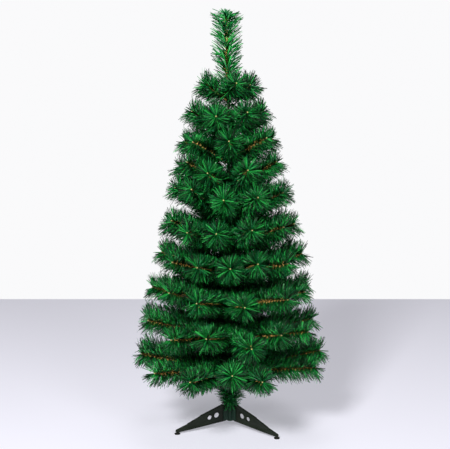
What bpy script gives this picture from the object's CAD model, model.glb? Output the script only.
"""Looks of a tabletop artificial tree: film needles on twisted wire, a wound trunk and a moulded stand.

Metres, +Z up, the front is -Y, as in the part's own frame. The boughs are laid out again by the
part's own rule, and each tip is dressed with fine needles within the reach of its solid.
"""

from __future__ import annotations

import logging
import math
import random
from dataclasses import dataclass, field
from enum import Enum
from typing import ClassVar

import bpy
import numpy as np
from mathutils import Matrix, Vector

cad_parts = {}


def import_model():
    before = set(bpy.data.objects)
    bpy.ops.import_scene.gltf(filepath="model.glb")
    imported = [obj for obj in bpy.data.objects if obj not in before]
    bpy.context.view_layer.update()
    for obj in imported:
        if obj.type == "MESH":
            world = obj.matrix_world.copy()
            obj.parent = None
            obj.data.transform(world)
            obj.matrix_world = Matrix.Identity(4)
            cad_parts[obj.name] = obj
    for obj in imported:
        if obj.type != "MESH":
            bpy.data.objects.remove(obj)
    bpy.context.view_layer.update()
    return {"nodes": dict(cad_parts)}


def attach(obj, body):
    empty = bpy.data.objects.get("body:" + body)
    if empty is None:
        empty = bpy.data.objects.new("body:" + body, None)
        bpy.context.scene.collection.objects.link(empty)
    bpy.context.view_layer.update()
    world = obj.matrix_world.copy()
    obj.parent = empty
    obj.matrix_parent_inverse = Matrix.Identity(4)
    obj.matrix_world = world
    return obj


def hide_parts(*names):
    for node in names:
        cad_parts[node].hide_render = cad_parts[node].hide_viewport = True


LOG = logging.getLogger("tree")
BODY = "root"
SEED = 90
TAU = math.tau
TINY = 1e-6

Colour = tuple[float, float, float]
Place = tuple[float, float, float]
Faces = list[tuple[int, ...]]


class Green(Enum):
    """The greens of the needle film, as linear red, green and blue."""

    DEEP = (0.0004, 0.019, 0.003)
    LEAF = (0.0012, 0.095, 0.013)
    FRESH = (0.0180, 0.400, 0.060)
    BLUISH = (0.0036, 0.160, 0.040)


class Part(Enum):
    """The record's material slots."""

    NEEDLES = "needles"
    TRUNK = "trunk"
    LEG = "leg_plastic"
    HUB = "hub_plastic"
    PAD = "pad_rubber"


# Finishes


def blank_material(name: str) -> tuple[bpy.types.Material, bpy.types.NodeTree, bpy.types.Node]:
    """A new node material.

    Args:
        name: the material's name.

    Returns:
        The material, its node tree and its Principled shader.
    """
    material = bpy.data.materials.new(name)
    material.use_nodes = True
    tree = material.node_tree
    return material, tree, tree.nodes["Principled BSDF"]


def add_noise(tree: bpy.types.NodeTree, scale: float, detail: float,
              stretch: Place = (1.0, 1.0, 1.0)) -> bpy.types.NodeSocket:
    """Adds a noise texture that follows the piece.

    Args:
        tree: the node tree to add to.
        scale: how many blobs there are to a metre.
        detail: how many finer layers it has.
        stretch: the scale along each axis.

    Returns:
        The noise's factor socket.
    """
    place = tree.nodes.new("ShaderNodeTexCoord")
    mapping = tree.nodes.new("ShaderNodeMapping")
    mapping.inputs["Scale"].default_value = stretch
    noise = tree.nodes.new("ShaderNodeTexNoise")
    noise.inputs["Scale"].default_value = scale
    noise.inputs["Detail"].default_value = detail
    tree.links.new(place.outputs["Object"], mapping.inputs["Vector"])
    tree.links.new(mapping.outputs["Vector"], noise.inputs["Vector"])
    return noise.outputs["Fac"]


def add_ramp(tree: bpy.types.NodeTree, factor: bpy.types.NodeSocket,
             stops: tuple[tuple[float, Colour], ...]) -> bpy.types.NodeSocket:
    """Adds a colour ramp.

    Args:
        tree: the node tree to add to.
        factor: what drives the ramp.
        stops: places from 0 to 1, each with its linear colour.

    Returns:
        The ramp's colour socket.
    """
    ramp = tree.nodes.new("ShaderNodeValToRGB")
    elements = ramp.color_ramp.elements
    while len(elements) < len(stops):
        elements.new(1.0)
    for element, (place, colour) in zip(elements, stops):
        element.position = place
        element.color = (*colour, 1.0)
    tree.links.new(factor, ramp.inputs["Fac"])
    return ramp.outputs["Color"]


def add_range(tree: bpy.types.NodeTree, factor: bpy.types.NodeSocket, low: float, high: float,
              middle: tuple[float, float] = (0.3, 0.7)) -> bpy.types.NodeSocket:
    """Adds a map from the middle of a noise to a range of values.

    Args:
        tree: the node tree to add to.
        factor: the noise.
        low: the value where the noise is low.
        high: the value where the noise is high.
        middle: the part of the noise that is mapped.

    Returns:
        The mapped socket.
    """
    mapped = tree.nodes.new("ShaderNodeMapRange")
    mapped.inputs["From Min"].default_value, mapped.inputs["From Max"].default_value = middle
    mapped.inputs["To Min"].default_value = low
    mapped.inputs["To Max"].default_value = high
    tree.links.new(factor, mapped.inputs["Value"])
    return mapped.outputs["Result"]


def add_bump(tree: bpy.types.NodeTree, height: bpy.types.NodeSocket, strength: float,
             distance: float) -> bpy.types.NodeSocket:
    """Adds a bump.

    Args:
        tree: the node tree to add to.
        height: what raises the surface.
        strength: from 0 to 1.
        distance: how high the bumps are, in metres.

    Returns:
        The bumped normal's socket.
    """
    bump = tree.nodes.new("ShaderNodeBump")
    bump.inputs["Strength"].default_value = strength
    bump.inputs["Distance"].default_value = distance
    tree.links.new(height, bump.inputs["Height"])
    return bump.outputs["Normal"]


@dataclass(frozen=True)
class NeedleFilm:
    """Cut film of one plain green, with a slight gloss."""

    green: Green
    roughness: float = 0.36
    specular: float = 0.42

    def material(self) -> bpy.types.Material:
        """The film's material, made once."""
        name = f"film_{self.green.name.lower()}"
        if name in bpy.data.materials:
            return bpy.data.materials[name]
        material, _, shader = blank_material(name)
        shader.inputs["Base Color"].default_value = (*self.green.value, 1.0)
        shader.inputs["Roughness"].default_value = self.roughness
        shader.inputs["Specular IOR Level"].default_value = self.specular
        return material


@dataclass(frozen=True)
class PlainFinish:
    """One plain colour, for very small things that come by the hundred."""

    name: str
    colour: Colour
    roughness: float

    def material(self) -> bpy.types.Material:
        """The material, made once."""
        if self.name in bpy.data.materials:
            return bpy.data.materials[self.name]
        material, _, shader = blank_material(self.name)
        shader.inputs["Base Color"].default_value = (*self.colour, 1.0)
        shader.inputs["Roughness"].default_value = self.roughness
        return material


@dataclass(frozen=True)
class WoundFilm:
    """Film wound tight round wire or pole: streaky, with a soft shine."""

    name: str
    dark: Colour
    light: Colour
    grain: float = 700.0
    detail: float = 4.0
    stretch: Place = (1.0, 1.0, 0.35)
    ramp: tuple[float, float] = (0.32, 0.66)
    roughness: tuple[float, float] = (0.38, 0.62)
    relief: float = 0.0002
    relief_strength: float = 0.5

    def material(self) -> bpy.types.Material:
        """The material, made once."""
        if self.name in bpy.data.materials:
            return bpy.data.materials[self.name]
        material, tree, shader = blank_material(self.name)
        streaks = add_noise(tree, self.grain, self.detail, self.stretch)
        colour = add_ramp(tree, streaks, tuple(zip(self.ramp, (self.dark, self.light))))
        rough = add_range(tree, streaks, *self.roughness)
        normal = add_bump(tree, streaks, self.relief_strength, self.relief)
        tree.links.new(colour, shader.inputs["Base Color"])
        tree.links.new(rough, shader.inputs["Roughness"])
        tree.links.new(normal, shader.inputs["Normal"])
        return material


@dataclass(frozen=True)
class MouldedPlastic:
    """Injection-moulded plastic: a fine spark-eroded grain, faint flow marks and scuffs."""

    name: str
    dark: Colour
    light: Colour
    scuff: Colour
    flow: float = 38.0
    flow_detail: float = 5.0
    flow_ramp: tuple[float, float] = (0.30, 0.70)
    grain: float = 1500.0
    grain_detail: float = 2.0
    scuffs: float = 210.0
    scuff_detail: float = 6.0
    scuff_stretch: Place = (1.0, 1.0, 3.0)
    scuff_ramp: tuple[float, float] = (0.60, 0.74)
    scuff_most: float = 0.55
    roughness: tuple[float, float] = (0.38, 0.56)
    relief: float = 0.00006
    relief_strength: float = 0.6
    specular: float = 0.22

    def material(self) -> bpy.types.Material:
        """The material, made once."""
        if self.name in bpy.data.materials:
            return bpy.data.materials[self.name]
        material, tree, shader = blank_material(self.name)
        flow = add_noise(tree, self.flow, self.flow_detail)
        grain = add_noise(tree, self.grain, self.grain_detail)
        scuffs = add_noise(tree, self.scuffs, self.scuff_detail, self.scuff_stretch)
        colour = add_ramp(tree, flow, tuple(zip(self.flow_ramp, (self.dark, self.light))))
        shares = ((0.0, 0.0, 0.0), (self.scuff_most,) * 3)
        worn = add_ramp(tree, scuffs, tuple(zip(self.scuff_ramp, shares)))
        mix = tree.nodes.new("ShaderNodeMix")
        mix.data_type = "RGBA"
        mix.inputs["B"].default_value = (*self.scuff, 1.0)
        tree.links.new(worn, mix.inputs["Factor"])
        tree.links.new(colour, mix.inputs["A"])
        tree.links.new(mix.outputs["Result"], shader.inputs["Base Color"])
        shader.inputs["Specular IOR Level"].default_value = self.specular
        rough = add_range(tree, flow, *self.roughness)
        normal = add_bump(tree, grain, self.relief_strength, self.relief)
        tree.links.new(rough, shader.inputs["Roughness"])
        tree.links.new(normal, shader.inputs["Normal"])
        return material


FILM_BROWN = WoundFilm("brown_film", (0.080, 0.050, 0.013), (0.310, 0.175, 0.042))
STUB_BROWN = PlainFinish("brown_film_ends", (0.950, 0.570, 0.145), roughness=0.5)
CUT_END = PlainFinish("cut_wire_ends", (0.500, 0.430, 0.160), roughness=0.42)
POLE_FILM = WoundFilm("pole_film", (0.010, 0.030, 0.012), (0.050, 0.062, 0.022), grain=420.0)
LEG_PLASTIC = MouldedPlastic("moulded_leg", dark=(0.0035, 0.0070, 0.0025),
                             light=(0.0075, 0.0130, 0.0055), scuff=(0.0160, 0.0220, 0.0140))
HUB_PLASTIC = MouldedPlastic("moulded_hub", dark=(0.0025, 0.0180, 0.0090),
                             light=(0.0060, 0.0340, 0.0180), scuff=(0.0160, 0.0550, 0.0360))
PAD_RUBBER = MouldedPlastic("moulded_pad", dark=(0.0055, 0.0070, 0.0045),
                            light=(0.0110, 0.0130, 0.0090), scuff=(0.022, 0.025, 0.020),
                            roughness=(0.60, 0.80))


# Meshes from arrays, for what comes by the hundred


def frames_along(directions: np.ndarray, steep: float = 0.94) -> tuple[np.ndarray, np.ndarray]:
    """Two unit vectors square to each direction.

    Args:
        directions: unit vectors, one a row.
        steep: how much of a direction points up before the side is taken from +X.

    Returns:
        The level side vectors and the ones square to them and to the directions.
    """
    reference = np.where(np.abs(directions[:, 2:3]) > steep, (1.0, 0.0, 0.0), (0.0, 0.0, 1.0))
    sides = np.cross(directions, reference)
    sides /= np.linalg.norm(sides, axis=1, keepdims=True)
    return sides, np.cross(sides, directions)


def unit(vectors: np.ndarray) -> np.ndarray:
    """The vectors brought to length one."""
    return vectors / np.linalg.norm(vectors, axis=1, keepdims=True)


@dataclass
class Soup:
    """Points and faces of many small closed shapes that become one mesh."""

    points: list[np.ndarray] = field(default_factory=list)
    corners: list[np.ndarray] = field(default_factory=list)
    sizes: list[np.ndarray] = field(default_factory=list)
    count: int = 0

    def add(self, points: np.ndarray, pattern: Faces) -> None:
        """Adds shapes that share one pattern of faces.

        Args:
            points: shapes by points by three.
            pattern: each face's corners within one shape.
        """
        shapes, each = points.shape[:2]
        starts = self.count + each * np.arange(shapes)[:, None]
        flat = np.concatenate([np.array(face) for face in pattern])
        self.points.append(points.reshape(-1, 3))
        self.corners.append((starts + flat[None, :]).reshape(-1))
        self.sizes.append(np.tile([len(face) for face in pattern], shapes))
        self.count += shapes * each

    def mesh(self, name: str) -> bpy.types.Mesh:
        """The mesh of all the shapes.

        Args:
            name: the mesh's name.

        Returns:
            The new mesh.
        """
        points = np.concatenate(self.points).astype(np.float32)
        corners = np.concatenate(self.corners).astype(np.int32)
        sizes = np.concatenate(self.sizes)
        starts = np.concatenate(([0], np.cumsum(sizes)[:-1])).astype(np.int32)
        mesh = bpy.data.meshes.new(name)
        mesh.vertices.add(len(points))
        mesh.vertices.foreach_set("co", points.reshape(-1))
        mesh.loops.add(len(corners))
        mesh.loops.foreach_set("vertex_index", corners)
        mesh.polygons.add(len(starts))
        mesh.polygons.foreach_set("loop_start", starts)
        mesh.update(calc_edges=True)
        mesh.validate()
        return mesh


def place_piece(name: str, mesh: bpy.types.Mesh, material: bpy.types.Material,
                nodes: tuple[str, ...] = ()) -> bpy.types.Object:
    """Makes a piece of the tree from a mesh whose place is in its points.

    Args:
        name: the piece's name.
        mesh: its mesh.
        material: its finish.
        nodes: the solids that it stands for.

    Returns:
        The new object.
    """
    mesh.materials.clear()
    mesh.materials.append(material)
    piece = bpy.data.objects.new(name, mesh)
    bpy.context.scene.collection.objects.link(piece)
    return settle(piece, nodes)


def settle(piece: bpy.types.Object, nodes: tuple[str, ...] = ()) -> bpy.types.Object:
    """Rides a finished piece on the body and says what it stands for.

    Args:
        piece: the finished object.
        nodes: the solids that it stands for.

    Returns:
        The same object.
    """
    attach(piece, BODY)
    if nodes:
        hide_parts(*nodes)
    LOG.info("%s: %d faces", piece.name, len(piece.data.polygons))
    return piece


@dataclass(frozen=True)
class Stem:
    """A bowed line from a start to a tip, drawn towards a third point."""

    start: Vector
    tip: Vector
    bow: Vector

    @property
    def length(self) -> float:
        """The straight length from start to tip."""
        return (self.tip - self.start).length

    def corners(self) -> tuple[np.ndarray, np.ndarray, np.ndarray]:
        """The start, the point that draws the line, and the tip, as arrays."""
        return np.array(self.start), np.array(self.bow), np.array(self.tip)

    def points(self, shares: np.ndarray) -> np.ndarray:
        """Points at shares of the way, one a row."""
        t = shares[:, None]
        start, bow, tip = self.corners()
        return (1 - t) ** 2 * start + 2 * t * (1 - t) * bow + t * t * tip

    def directions(self, shares: np.ndarray) -> np.ndarray:
        """Unit directions at shares of the way, one a row."""
        t = shares[:, None]
        start, bow, tip = self.corners()
        return unit(2 * (1 - t) * (bow - start) + 2 * t * (tip - bow))


@dataclass(frozen=True)
class Needles:
    """The rule for needles on one kind of stem."""

    length: float = 0.0315
    spread: float = 0.15
    width: float = 0.00140
    thickness: float = 0.00035
    per_metre: float = 9000.0
    bunching: float = 0.90
    lean: float = 60.0
    lean_spread: float = 8.5
    end_lean: float = 65.0
    end_zone: float = 0.012
    end_curve: float = 0.7
    ahead: float = 0.012
    steepest: float = 0.05
    inner_share: float = 0.90
    inner_zone: float = 0.030
    wire_radius: float = 0.0012
    curl: float = 0.10
    bend_along: tuple[float, float] = (0.4, 0.8)
    bend_aside: float = 0.7
    roll: float = 1.2
    width_spread: float = 0.15
    end_share: float = 1.0
    cut: float = 0.0018
    taper: float = 0.75
    bunch: int = 2
    level_gap: float = 32.0

    PATTERN: ClassVar[Faces] = [(0, 2, 1), (0, 1, 3), (1, 4, 3), (1, 2, 4), (2, 0, 3, 4)]

    def grow(self, stem: Stem, rng: np.random.Generator, bare: float = 0.0,
             parting: float = 0.0) -> tuple[np.ndarray, np.ndarray]:
        """Grows needles all round a stem.

        Args:
            stem: the line that carries them.
            rng: the source of chance.
            bare: the length at the start that has none.
            parting: from 0 to 1, how far the needles are pressed up and down, off the level sides.

        Returns:
            Five points a needle, and the number of the bunch that each needle belongs to.
        """
        brush = stem.length - bare
        count = round(brush * self.per_metre)
        shares = (np.arange(count) + rng.uniform(size=count)) / count
        walked = bare + brush * shares ** self.bunching
        at = walked / stem.length
        centre, along = stem.points(at), stem.directions(at)
        side, up = frames_along(along)
        turn = self.parted(rng.uniform(0, TAU, count), parting)
        outward = np.cos(turn)[:, None] * side + np.sin(turn)[:, None] * up
        to_end = np.clip((stem.length - walked) / self.end_zone, 0.0, 1.0)
        lean = np.radians(self.end_lean + (self.lean - self.end_lean) * to_end ** self.end_curve
                          + rng.normal(0, self.lean_spread, count))
        length = self.length * (1 + rng.uniform(-1, 1, count) * self.spread)
        from_root = np.clip(walked / self.inner_zone, 0, 1)
        length *= self.inner_share + (1 - self.inner_share) * from_root
        length *= self.end_share + (1 - self.end_share) * to_end
        forward = np.cos(lean)
        room = (stem.length - walked + self.ahead) / np.maximum(forward, self.steepest)
        length = np.where(forward > self.steepest, np.minimum(length, room), length)
        roots = centre + outward * self.wire_radius / 2
        blades = self.shapes(roots, along, outward, lean, length, rng)
        return blades, np.arange(count) // self.bunch

    def parted(self, turn: np.ndarray, parting: float) -> np.ndarray:
        """Turns of the needles once those at the level sides are pressed up or down.

        Args:
            turn: turns round the stem, where 0 and half a turn are level.
            parting: from 0 to 1.

        Returns:
            The new turns.
        """
        gap = math.radians(self.level_gap)
        off = (turn + math.pi / 2) % math.pi - math.pi / 2
        moved = np.sign(off) * (np.abs(off) + (gap - np.abs(off)) * parting)
        return np.where(np.abs(off) < gap, turn - off + moved, turn)

    def shapes(self, roots: np.ndarray, along: np.ndarray, outward: np.ndarray, lean: np.ndarray,
               length: np.ndarray, rng: np.random.Generator) -> np.ndarray:
        """The closed, flattened blades of the needles.

        Args:
            roots: where they start.
            along: the stem's directions.
            outward: the directions away from the stem.
            lean: angles from the stem, in radians.
            length: lengths of the needles.
            rng: the source of chance.

        Returns:
            Needles by five points by three.
        """
        count = len(roots)
        aim = np.cos(lean)[:, None] * along + np.sin(lean)[:, None] * outward
        flat = unit(np.cross(aim, outward) + TINY)
        roll = rng.uniform(-self.roll, self.roll, count)[:, None]
        square = np.cross(aim, flat)
        wide = flat * np.cos(roll) + square * np.sin(roll)
        thin = square * np.cos(roll) - flat * np.sin(roll)
        bend = rng.normal(*self.bend_along, count)[:, None] * along
        bend = bend + rng.normal(0, self.bend_aside, count)[:, None] * wide
        long = length[:, None]
        uneven = self.width_spread
        half = self.width / 2 * rng.uniform(1 - uneven, 1 + uneven, count)[:, None]
        point = roots + aim * long + bend * long * self.curl
        slant = aim * self.cut * rng.uniform(-1, 1, count)[:, None]
        root = [roots + wide * half, roots + thin * self.thickness, roots - wide * half]
        end = wide * half * self.taper + slant
        return np.stack([*root, point + end, point - end], axis=1)


@dataclass
class Foliage:
    """Needles dealt out by the bunch, one soup a shade."""

    shades: tuple[Green, ...] = tuple(Green)
    soups: dict[Green, Soup] = field(default_factory=dict)

    def add(self, points: np.ndarray, bunches: np.ndarray, rng: np.random.Generator) -> None:
        """Adds needles, each bunch in a shade by chance.

        Args:
            points: the needles' points.
            bunches: the bunch that each needle belongs to.
            rng: the source of chance.
        """
        dealt = rng.integers(0, len(self.shades), bunches.max() + 1)[bunches]
        for number, green in enumerate(self.shades):
            self.soups.setdefault(green, Soup()).add(points[dealt == number], Needles.PATTERN)

    def place(self, name: str, nodes: tuple[str, ...]) -> None:
        """Makes one piece a shade.

        Args:
            name: the start of the pieces' names.
            nodes: the solids that they stand for.
        """
        for green, soup in self.soups.items():
            label = f"{name}_{green.name.lower()}"
            place_piece(label, soup.mesh(label), NeedleFilm(green).material(), nodes)


def tube_faces(rings: int, sides: int) -> Faces:
    """The faces of a closed tube of rings.

    Args:
        rings: how many rings it has.
        sides: how many points each ring has.

    Returns:
        Each face's corners.
    """
    around = range(sides)
    faces = [tuple(reversed(around))]
    for ring in range(rings - 1):
        low, high = ring * sides, (ring + 1) * sides
        for corner in around:
            after = (corner + 1) % sides
            faces.append((low + corner, low + after, high + after, high + corner))
    faces.append(tuple((rings - 1) * sides + corner for corner in around))
    return faces


@dataclass(frozen=True)
class TwistedWire:
    """Two strands twisted round each other, the core of a tip."""

    strand_radius: float = 0.0010
    offset: float = 0.0012
    pitch: float = 0.0140
    steps: int = 8
    sides: int = 4

    def add_to(self, soup: Soup, stem: Stem, turn: float) -> None:
        """Adds both strands of one stem.

        Args:
            soup: what the strands are added to.
            stem: the line that they follow.
            turn: where the twist starts.
        """
        count = round(stem.length / self.pitch * self.steps) + 1
        shares = np.linspace(0.0, 1.0, count)
        centre, along = stem.points(shares), stem.directions(shares)
        side, up = frames_along(along)
        twist = self.twist(stem, shares, turn)
        for strand in range(2):
            angle = (twist + math.pi * strand)[:, None]
            middle = centre + self.offset * (np.cos(angle) * side + np.sin(angle) * up)
            ring = []
            for corner in range(self.sides):
                around = angle + TAU * corner / self.sides
                out = np.cos(around) * side + np.sin(around) * up
                ring.append(middle + self.strand_radius * out)
            points = np.stack(ring, axis=1).reshape(1, -1, 3)
            soup.add(points, tube_faces(count, self.sides))

    def twist(self, stem: Stem, shares: np.ndarray, turn: float) -> np.ndarray:
        """How far the strands have turned.

        Args:
            stem: the line that they follow.
            shares: shares of the way along it.
            turn: where the twist starts.

        Returns:
            An angle in radians for each share.
        """
        return turn + TAU * shares * stem.length / self.pitch


@dataclass(frozen=True)
class FilmStubs:
    """Short brown ends of film that stand out of the twist, at the needles' roots."""

    length: float = 0.0075
    width: float = 0.0023
    per_metre: float = 1700.0
    thickness: float = 0.0004
    root_radius: float = 0.0006
    lean: float = 82.0
    lean_spread: float = 9.0
    stray: float = 0.20
    shortest: float = 0.7
    longest: float = 1.25
    short_of_end: float = 0.005

    PATTERN: ClassVar[Faces] = [(0, 2, 1), (0, 1, 3), (1, 2, 3), (2, 0, 3)]

    def add_to(self, soup: Soup, stem: Stem, wire: TwistedWire, start: float,
               rng: np.random.Generator) -> None:
        """Adds the stubs of one stem, in the two grooves of its twist.

        Args:
            soup: what the stubs are added to.
            stem: the line that carries them.
            wire: the twisted wire along it.
            start: where the twist starts.
            rng: the source of chance.
        """
        count = round(stem.length * self.per_metre)
        shares = (np.arange(count) + rng.uniform(size=count)) / count
        shares *= 1 - self.short_of_end / stem.length
        centre, along = stem.points(shares), stem.directions(shares)
        side, up = frames_along(along)
        groove = math.pi * (rng.integers(0, 2, count) + 0.5)
        twist = wire.twist(stem, shares, start)
        turn = (twist + groove + rng.normal(0, self.stray, count))[:, None]
        outward = np.cos(turn) * side + np.sin(turn) * up
        lean = np.radians(self.lean + rng.normal(0, self.lean_spread, count))[:, None]
        aim = np.cos(lean) * along + np.sin(lean) * outward
        wide = unit(np.cross(aim, outward) + TINY)
        long = self.length * rng.uniform(self.shortest, self.longest, count)[:, None]
        root = centre + outward * self.root_radius
        ring = [root + wide * self.width / 2, root + np.cross(aim, wide) * self.thickness,
                root - wide * self.width / 2]
        soup.add(np.stack([*ring, root + aim * long], axis=1), self.PATTERN)


@dataclass(frozen=True)
class CutEnds:
    """The pale end of the wire where each tip was cut."""

    radius: float = 0.0013
    length: float = 0.0030
    sides: int = 6
    profile: tuple[tuple[float, float], ...] = ((-0.5, 1.0), (0.42, 1.0), (0.5, 0.75))

    def add_to(self, soup: Soup, stem: Stem) -> None:
        """Adds the cut end of one stem.

        Args:
            soup: what the end is added to.
            stem: the line that ends there.
        """
        last = np.array([1.0])
        tip, along = stem.points(last), stem.directions(last)
        side, up = frames_along(along)
        rings = []
        for forward, wide in self.profile:
            for corner in range(self.sides):
                turn = TAU * corner / self.sides
                out = math.cos(turn) * side + math.sin(turn) * up
                rings.append(tip + along * self.length * forward + out * self.radius * wide)
        points = np.stack(rings, axis=1).reshape(1, -1, 3)
        soup.add(points, tube_faces(len(self.profile), self.sides))


@dataclass
class WireWork:
    """The wires, film stubs and cut ends of several stems, each kind one piece."""

    wire: TwistedWire = TwistedWire()
    stubs: FilmStubs = FilmStubs()
    end: CutEnds = CutEnds()
    soups: tuple[Soup, Soup, Soup] = field(default_factory=lambda: (Soup(), Soup(), Soup()))

    def add(self, stem: Stem, rng: np.random.Generator) -> None:
        """Adds one stem's wire, stubs and cut end.

        Args:
            stem: the line that they follow.
            rng: the source of chance.
        """
        wires, stubs, ends = self.soups
        start = rng.uniform(0, TAU)
        self.wire.add_to(wires, stem, start)
        self.stubs.add_to(stubs, stem, self.wire, start, rng)
        self.end.add_to(ends, stem)

    def place(self, name: str, nodes: tuple[str, ...]) -> None:
        """Makes the three pieces.

        Args:
            name: the start of their names.
            nodes: the solids that they stand for.
        """
        finishes = (("wire", FILM_BROWN), ("stubs", STUB_BROWN), ("ends", CUT_END))
        for soup, (kind, finish) in zip(self.soups, finishes):
            label = f"{name}_{kind}"
            place_piece(label, soup.mesh(label), finish.material(), nodes)


# The tree


@dataclass(frozen=True)
class TrunkLine:
    """The trunk's middle line and radius, by the part's own rule."""

    height: float = 0.900
    lean: float = -0.0093
    power: float = 2.5
    foot_z: float = 0.0173
    top_z: float = 0.756
    foot_radius: float = 0.0053
    top_radius: float = 0.0030

    def x(self, z: float) -> float:
        """How far the trunk has drifted sideways at a height."""
        return self.lean * (z / self.height) ** self.power

    def radius(self, z: float) -> float:
        """The pole's radius at a height."""
        share = (z - self.foot_z) / (self.top_z - self.foot_z)
        return self.foot_radius + share * (self.top_radius - self.foot_radius)


TRUNK_LINE = TrunkLine()


@dataclass(frozen=True)
class Tier:
    """One tier of forked boughs, laid out by the part's own rule."""

    number: int
    root_z: float
    rise: float
    reach: float
    tips: int
    facing: tuple[tuple[float, float], ...]
    azimuth_spread: float = 3.0
    rise_spread: float = 2.5
    reach_spread: float = 0.04
    stem_radius: float = 0.0018
    gap: float = 0.0004
    fork_radius: float = 0.018
    ring_step: float = 0.0118
    bare: float = 0.010

    @property
    def nodes(self) -> tuple[str, ...]:
        """The solids of this tier's boughs."""
        return tuple(f"bough_{self.number:02d}_{place + 1}" for place in range(self.tips // 2))

    def layout(self) -> list[tuple[float, float, float]]:
        """The tips: those at the front, then the rest spread evenly behind.

        Returns:
            Each tip's azimuth from the front, its rise in degrees and its reach.
        """
        chance = random.Random(SEED + self.number - 1)
        first, last = self.facing[0][0], self.facing[-1][0]
        behind = self.tips - len(self.facing)
        step = (360 - (last - first)) / (behind + 1)
        tips = list(self.facing)
        for i in range(behind):
            azimuth = last + step * (i + 1) + chance.uniform(-1, 1) * self.azimuth_spread
            tips.append((azimuth, self.rise + chance.uniform(-1, 1) * self.rise_spread))
        return [(*tip, self.reach * (1 + chance.uniform(-1, 1) * self.reach_spread)) for tip in tips]

    @staticmethod
    def heading(azimuth: float) -> Vector:
        """The level direction of an azimuth in degrees from the front."""
        turn = math.radians(azimuth)
        return Vector((math.sin(turn), -math.cos(turn), 0.0))

    def stems(self) -> list[tuple[Stem, float]]:
        """The tier's stems.

        Returns:
            Each tip's stem with its azimuth.
        """
        tips = self.layout()
        slope = math.tan(math.radians(self.rise))
        axis = Vector((TRUNK_LINE.x(self.root_z), 0.0, self.root_z))
        clear = (TRUNK_LINE.radius(self.root_z) + self.gap
                 + self.stem_radius * math.sin(math.radians(self.rise)))
        made = []
        for place in range(self.tips // 2):
            pair = tips[2 * place:2 * place + 2]
            middle = self.heading(sum(azimuth for azimuth, _, _ in pair) / 2)
            start = axis + middle * clear + Vector((0.0, 0.0, clear * slope))
            bow = axis + middle * self.fork_radius + Vector((0.0, 0.0, self.fork_radius * slope))
            for azimuth, rise, reach in pair:
                climb = reach * math.tan(math.radians(rise))
                tip = axis + self.heading(azimuth) * reach + Vector((0.0, 0.0, climb))
                stem = Stem(start, tip, (bow * 2 + tip) / 3)
                made.append((stem, azimuth))
                first_step = 1 / max(2, round(stem.length / self.ring_step))
                start = bow = Vector(stem.points(np.array([first_step]))[0])
        return made


@dataclass
class Crown:
    """Ten tiers of boughs, whose tips carry needles, stubs and twisted wire."""

    tiers: tuple[Tier, ...] = (
        Tier(1, 0.7115, 30.0, 0.054, 6, ((-71, 34), (18, 34), (56, 32))),
        Tier(2, 0.6440, 28.0, 0.076, 8, ((-78, 31), (-20, 27), (30, 31), (78, 33))),
        Tier(3, 0.5840, 27.0, 0.093, 8, ((-86, 25), (-53, 26), (0, 27), (53, 29))),
        Tier(4, 0.5190, 27.0, 0.109, 8, ((-55, 33), (-25, 25), (20, 27), (68, 33))),
        Tier(5, 0.4670, 24.0, 0.121, 10, ((-80, 29), (-42, 30), (-6, 22), (27, 23), (67, 25))),
        Tier(6, 0.4060, 19.0, 0.135, 12,
             ((-63, 24), (-40, 17), (-12, 18), (19, 20), (56, 20), (84, 19))),
        Tier(7, 0.3410, 16.0, 0.149, 12,
             ((-82, 20), (-54, 16), (-27, 15), (0, 15), (23, 18), (52, 15), (80, 18))),
        Tier(8, 0.2760, 12.0, 0.168, 12,
             ((-83, 14), (-47, 16), (-23, 12), (10, 10), (45, 12), (71, 13))),
        Tier(9, 0.2025, 10.0, 0.182, 12,
             ((-69, 16), (-42, 9), (-15, 13), (13, 7), (36, 13), (64, 10))),
        Tier(10, 0.1290, 9.0, 0.197, 12,
             ((-72, 15), (-53, 8), (-24, 8), (1, 13), (18, 9), (67, 8), (77, 16))),
    )
    needles: Needles = Needles()
    partings: tuple[float, ...] = (0.0, 0.1, 0.6, 0.6, 0.1, 0.3, 0.95, 0.95, 0.95, 0.9)
    parting_curve: float = 0.5
    closed: float = 0.2
    closed_stubs: FilmStubs = FilmStubs(length=0.0042, per_metre=1000.0)

    def build(self) -> None:
        """Builds every tier's pieces."""
        for tier, widest in zip(self.tiers, self.partings):
            self.build_tier(tier, widest)

    def build_tier(self, tier: Tier, widest: float) -> None:
        """Builds one tier: its wires, stubs and cut ends, and its needles by shade.

        Args:
            tier: the tier.
            widest: how far the needles of its side tips part, from 0 to 1.
        """
        rng = np.random.default_rng(SEED * 10 + tier.number)
        stubs = self.closed_stubs if widest < self.closed else FilmStubs()
        foliage, work = Foliage(), WireWork(stubs=stubs)
        for stem, azimuth in tier.stems():
            parting = widest * abs(math.sin(math.radians(azimuth))) ** self.parting_curve
            foliage.add(*self.needles.grow(stem, rng, tier.bare, parting), rng)
            work.add(stem, rng)
        name = f"tier_{tier.number:02d}"
        work.place(name, tier.nodes)
        foliage.place(f"{name}_needles", tier.nodes)


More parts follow.
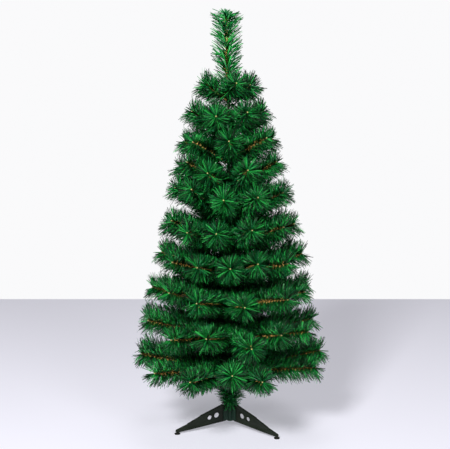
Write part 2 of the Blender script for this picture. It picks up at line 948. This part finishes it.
@dataclass
class Leader:
    """The upright tip on top, with longer needles trimmed level."""

    wire_top_z: float = 0.892
    wire_overlap: float = 0.004
    shades: tuple[Green, ...] = (Green.FRESH, Green.BLUISH)
    crest_length: float = 0.010
    needles: Needles = Needles(length=0.0345, width=0.0022, per_metre=4300.0, lean=60.0,
                               lean_spread=4.5, end_lean=88.0, end_zone=0.024, ahead=0.006,
                               inner_share=0.92, inner_zone=0.040, end_share=0.82, bunching=1.0)
    crest: Needles = Needles(length=0.016, width=0.0022, per_metre=5200.0, lean=48.0,
                             lean_spread=16.0, end_lean=40.0, ahead=0.007, inner_share=1.0,
                             bunching=1.0)

    def build(self) -> None:
        """Builds the leader's wire, stubs, cut end and needles."""
        rng = np.random.default_rng(SEED + 20)
        foot_z = TRUNK_LINE.top_z - self.wire_overlap
        foot = Vector((TRUNK_LINE.x(foot_z), 0.0, foot_z))
        tip = Vector((TRUNK_LINE.lean, 0.0, self.wire_top_z))
        stem = Stem(foot, tip, (foot + tip) / 2)
        crest = Stem(tip - Vector((0.0, 0.0, self.crest_length)), tip, tip)
        foliage, work = Foliage(self.shades), WireWork()
        foliage.add(*self.needles.grow(stem, rng), rng)
        foliage.add(*self.crest.grow(crest, rng), rng)
        work.add(stem, rng)
        work.place("leader", ("leader",))
        foliage.place("leader_needles", ("leader",))


@dataclass
class TrunkNeedles:
    """Short needles wound round the pole, and the hanging sleeve at its foot."""

    sleeve_foot_z: float = 0.0535
    sleeve_top_z: float = 0.100
    pole_top_z: float = 0.748
    hem: float = 0.014
    wrap_shades: tuple[Green, ...] = (Green.FRESH, Green.BLUISH, Green.LEAF)
    sleeve: Needles = Needles(length=0.030, per_metre=15000.0, ahead=1.0, lean=72.0,
                              lean_spread=15.0, end_lean=72.0, inner_share=0.62, inner_zone=0.022,
                              wire_radius=0.0100, bunching=1.0)
    hanging: Needles = Needles(length=0.0205, per_metre=18000.0, ahead=1.0, lean=137.0,
                               lean_spread=12.0, end_lean=137.0, inner_share=0.9, inner_zone=0.02,
                               wire_radius=0.0092, bunching=1.0)
    along_pole: Needles = Needles(length=0.030, per_metre=3400.0, lean=62.0, end_lean=62.0,
                                  inner_share=1.0, wire_radius=0.0070, bunching=1.0)

    def build(self) -> None:
        """Builds the sleeve and the needles along the pole, by shade."""
        rng = np.random.default_rng(SEED + 21)
        wrap = Foliage(self.wrap_shades)
        wrap.add(*self.sleeve.grow(self.line(self.sleeve_foot_z, self.sleeve_top_z), rng), rng)
        hem = self.line(self.sleeve_foot_z, self.sleeve_foot_z + self.hem)
        wrap.add(*self.hanging.grow(hem, rng), rng)
        wrap.place("trunk_wrap_needles", ("trunk_wrap",))
        pole = Foliage()
        pole.add(*self.along_pole.grow(self.line(self.sleeve_top_z, self.pole_top_z), rng), rng)
        pole.place("trunk_needles", ("trunk",))

    @staticmethod
    def line(low: float, high: float) -> Stem:
        """The trunk's middle line between two heights."""
        middle_z = (low + high) / 2
        start, middle, stop = (Vector((TRUNK_LINE.x(z), 0.0, z)) for z in (low, middle_z, high))
        return Stem(start, stop, middle)


def deselect() -> None:
    """Leaves every object unselected, out of edit mode."""
    if bpy.context.mode != "OBJECT":
        bpy.ops.object.mode_set(mode="OBJECT")
    bpy.ops.object.select_all(action="DESELECT")


def round_edges(piece: bpy.types.Object, width: float, segments: int, sharp: float = 30.0) -> None:
    """Bevels the sharp edges of the active piece.

    Args:
        piece: the piece.
        width: the bevel's width.
        segments: how many steps it has.
        sharp: the least angle of an edge that it takes, in degrees.
    """
    bevel = piece.modifiers.new("edges", "BEVEL")
    bevel.width = width
    bevel.segments = segments
    bevel.limit_method = "ANGLE"
    bevel.angle_limit = math.radians(sharp)
    bpy.ops.object.modifier_apply(modifier=bevel.name)


@dataclass
class Pole:
    """The trunk pole, wound in a spiral of film whose turns stand out as ridges."""

    ridges: int = 7
    groove: float = 0.86
    rings: int = 150
    turn_per_ring: float = 9.0
    smooth: float = 50.0

    def build(self) -> None:
        """Draws the pole up ring by ring from its foot."""
        line = TRUNK_LINE
        deselect()
        foot_x = line.x(line.foot_z)
        bpy.ops.mesh.primitive_circle_add(vertices=2 * self.ridges, radius=line.foot_radius,
                                          fill_type="NGON", location=(foot_x, 0.0, line.foot_z))
        pole = bpy.context.object
        pole.name = pole.data.name = "trunk_pole"
        bpy.ops.object.transform_apply(location=True, rotation=True, scale=True)
        for vertex in pole.data.vertices:
            if vertex.index % 2:
                vertex.co.x = foot_x + (vertex.co.x - foot_x) * self.groove
                vertex.co.y *= self.groove
        bpy.ops.object.mode_set(mode="EDIT")
        bpy.ops.mesh.select_all(action="SELECT")
        step = (line.top_z - line.foot_z) / self.rings
        for ring in range(1, self.rings + 1):
            below, here = line.foot_z + step * (ring - 1), line.foot_z + step * ring
            drift = line.x(here) - line.x(below)
            shrink = line.radius(here) / line.radius(below)
            centre = (line.x(here), 0.0, here)
            move = {"value": (drift, 0.0, step)}
            bpy.ops.mesh.extrude_region_move(TRANSFORM_OT_translate=move)
            bpy.ops.transform.rotate(value=math.radians(self.turn_per_ring), orient_axis="Z",
                                     center_override=centre)
            bpy.ops.transform.resize(value=(shrink, shrink, 1.0), center_override=centre)
        bpy.ops.mesh.select_all(action="SELECT")
        bpy.ops.mesh.normals_make_consistent(inside=False)
        bpy.ops.object.mode_set(mode="OBJECT")
        bpy.ops.object.shade_smooth_by_angle(angle=math.radians(self.smooth))
        pole.data.materials.clear()
        pole.data.materials.append(POLE_FILM.material())
        settle(pole, ("trunk",))


@dataclass
class Stand:
    """The hub, the three blades and their foot pads, softened at their edges."""

    nodes: dict[str, bpy.types.Object]
    legs: tuple[tuple[str, float], ...] = (("left", -67.0), ("right", 53.0), ("back", 173.0))
    weld: float = 0.00001
    flat: float = 1.5
    edge: float = 0.00045
    edge_steps: int = 2
    sharp: float = 32.0
    smooth: float = 35.0
    pin_reach: float = 0.0138
    pin_z: float = 0.0250
    pin_radius: float = 0.0017
    pin_length: float = 0.0100
    pin_sides: int = 16
    pin_dome: float = 0.45
    pin_dome_steps: int = 3
    pin_smooth: float = 50.0

    def build(self) -> None:
        """Builds every part of the stand."""
        self.soften("hub", HUB_PLASTIC.material())
        for side, azimuth in self.legs:
            self.soften(f"leg_{side}", LEG_PLASTIC.material())
            self.soften(f"foot_{side}", PAD_RUBBER.material())
            self.pin(side, math.radians(azimuth))

    def soften(self, node: str, material: bpy.types.Material) -> None:
        """Makes a merged, bevelled copy of a solid of the stand.

        Args:
            node: the solid's name.
            material: its finish.
        """
        deselect()
        mesh = self.nodes[node].data.copy()
        piece = bpy.data.objects.new(f"{node}_moulded", mesh)
        bpy.context.scene.collection.objects.link(piece)
        mesh.materials.clear()
        mesh.materials.append(material)
        piece.select_set(True)
        bpy.context.view_layer.objects.active = piece
        bpy.ops.object.mode_set(mode="EDIT")
        bpy.ops.mesh.select_all(action="SELECT")
        bpy.ops.mesh.remove_doubles(threshold=self.weld)
        bpy.ops.mesh.dissolve_limited(angle_limit=math.radians(self.flat))
        bpy.ops.object.mode_set(mode="OBJECT")
        round_edges(piece, self.edge, self.edge_steps, self.sharp)
        bpy.ops.object.shade_smooth_by_angle(angle=math.radians(self.smooth))
        settle(piece, (node,))

    def pin(self, side: str, azimuth: float) -> None:
        """Adds the domed pin that holds a blade between its ears.

        Args:
            side: which leg.
            azimuth: where the leg points, in radians from the front.
        """
        out = Vector((math.sin(azimuth), -math.cos(azimuth), 0.0))
        deselect()
        bpy.ops.mesh.primitive_cylinder_add(
            vertices=self.pin_sides, radius=self.pin_radius, depth=self.pin_length,
            location=out * self.pin_reach + Vector((0.0, 0.0, self.pin_z)),
            rotation=(math.pi / 2, 0.0, azimuth - math.pi / 2))
        piece = bpy.context.object
        piece.name = piece.data.name = f"pin_{side}"
        bpy.ops.object.transform_apply(location=True, rotation=True, scale=True)
        round_edges(piece, self.pin_radius * self.pin_dome, self.pin_dome_steps)
        bpy.ops.object.shade_smooth_by_angle(angle=math.radians(self.pin_smooth))
        piece.data.materials.clear()
        piece.data.materials.append(HUB_PLASTIC.material())
        settle(piece)


@dataclass(frozen=True)
class Lamp:
    """A square soft lamp, aimed at the middle of the tree."""

    name: str
    place: Place
    size: float
    power: float
    aim: Place = (0.0, 0.0, 0.42)

    def build(self) -> None:
        """Hangs the lamp."""
        data = bpy.data.lights.new(self.name, "AREA")
        data.size = self.size
        data.energy = self.power
        lamp = bpy.data.objects.new(self.name, data)
        bpy.context.scene.collection.objects.link(lamp)
        lamp.location = self.place
        direction = Vector(self.aim) - Vector(self.place)
        lamp.rotation_euler = direction.to_track_quat("-Z", "Y").to_euler()


@dataclass
class Studio:
    """A pale floor in front of a paler room, soft lamps, and the camera."""

    floor_front: float = -3.2
    floor_back: float = 1.30
    floor_half_width: float = 3.4
    floor_colour: Colour = (0.600, 0.595, 0.660)
    floor_roughness: float = 0.70
    floor_glow: float = 0.54
    room_colour: Colour = (0.955, 0.955, 0.965)
    room_light: float = 0.05
    lamps: tuple[Lamp, ...] = (
        Lamp("key", (-0.9, -2.5, 2.0), size=0.6, power=115.0),
        Lamp("fill", (1.3, -2.4, 1.5), size=0.9, power=24.0),
        Lamp("top", (0.1, 0.2, 2.6), size=1.2, power=14.0),
    )
    camera_place: Place = (-0.0113, -2.0, 0.728)
    camera_pitch: float = 7.91
    camera_lens: float = 75.34
    camera_sensor: float = 36.0

    def build(self) -> None:
        """Builds the floor, the light and the camera."""
        self.floor()
        self.room()
        for lamp in self.lamps:
            lamp.build()
        self.camera()

    def floor(self) -> None:
        """The plain floor, as far back as the line behind the tree."""
        deselect()
        middle = (self.floor_front + self.floor_back) / 2
        bpy.ops.mesh.primitive_plane_add(size=1.0, location=(0.0, middle, 0.0))
        plane = bpy.context.object
        plane.name = plane.data.name = "floor"
        plane.scale = (2 * self.floor_half_width, self.floor_back - self.floor_front, 1.0)
        bpy.ops.object.transform_apply(location=True, rotation=True, scale=True)
        material, _, shader = blank_material("pale_floor")
        shader.inputs["Base Color"].default_value = (*self.floor_colour, 1.0)
        shader.inputs["Roughness"].default_value = self.floor_roughness
        shader.inputs["Emission Color"].default_value = (*self.floor_colour, 1.0)
        shader.inputs["Emission Strength"].default_value = self.floor_glow
        plane.data.materials.append(material)

    def room(self) -> None:
        """The even, pale light of the room."""
        world = bpy.data.worlds.new("room")
        world.use_nodes = True
        tree = world.node_tree
        light = tree.nodes["Background"]
        light.inputs["Color"].default_value = (*self.room_colour, 1.0)
        light.inputs["Strength"].default_value = self.room_light
        wall = tree.nodes.new("ShaderNodeBackground")
        wall.inputs["Color"].default_value = (*self.room_colour, 1.0)
        path = tree.nodes.new("ShaderNodeLightPath")
        mix = tree.nodes.new("ShaderNodeMixShader")
        tree.links.new(path.outputs["Is Camera Ray"], mix.inputs["Fac"])
        tree.links.new(light.outputs["Background"], mix.inputs[1])
        tree.links.new(wall.outputs["Background"], mix.inputs[2])
        tree.links.new(mix.outputs["Shader"], tree.nodes["World Output"].inputs["Surface"])
        bpy.context.scene.world = world
        bpy.context.scene.view_settings.view_transform = "Standard"

    def camera(self) -> None:
        """Adds the camera at the photograph's viewing angle."""
        data = bpy.data.cameras.new("camera")
        data.lens = self.camera_lens
        data.sensor_width = self.camera_sensor
        camera = bpy.data.objects.new("camera", data)
        bpy.context.scene.collection.objects.link(camera)
        camera.location = self.camera_place
        camera.rotation_euler = (math.radians(90.0 - self.camera_pitch), 0.0, 0.0)
        bpy.context.scene.camera = camera


def main() -> None:
    """Builds the whole look of the tree and notes its size."""
    logging.basicConfig(level=logging.INFO, format="%(message)s")
    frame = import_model()
    Crown().build()
    Leader().build()
    TrunkNeedles().build()
    Pole().build()
    Stand(frame["nodes"]).build()
    Studio().build()
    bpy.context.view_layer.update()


if __name__ == "__main__":
    main()
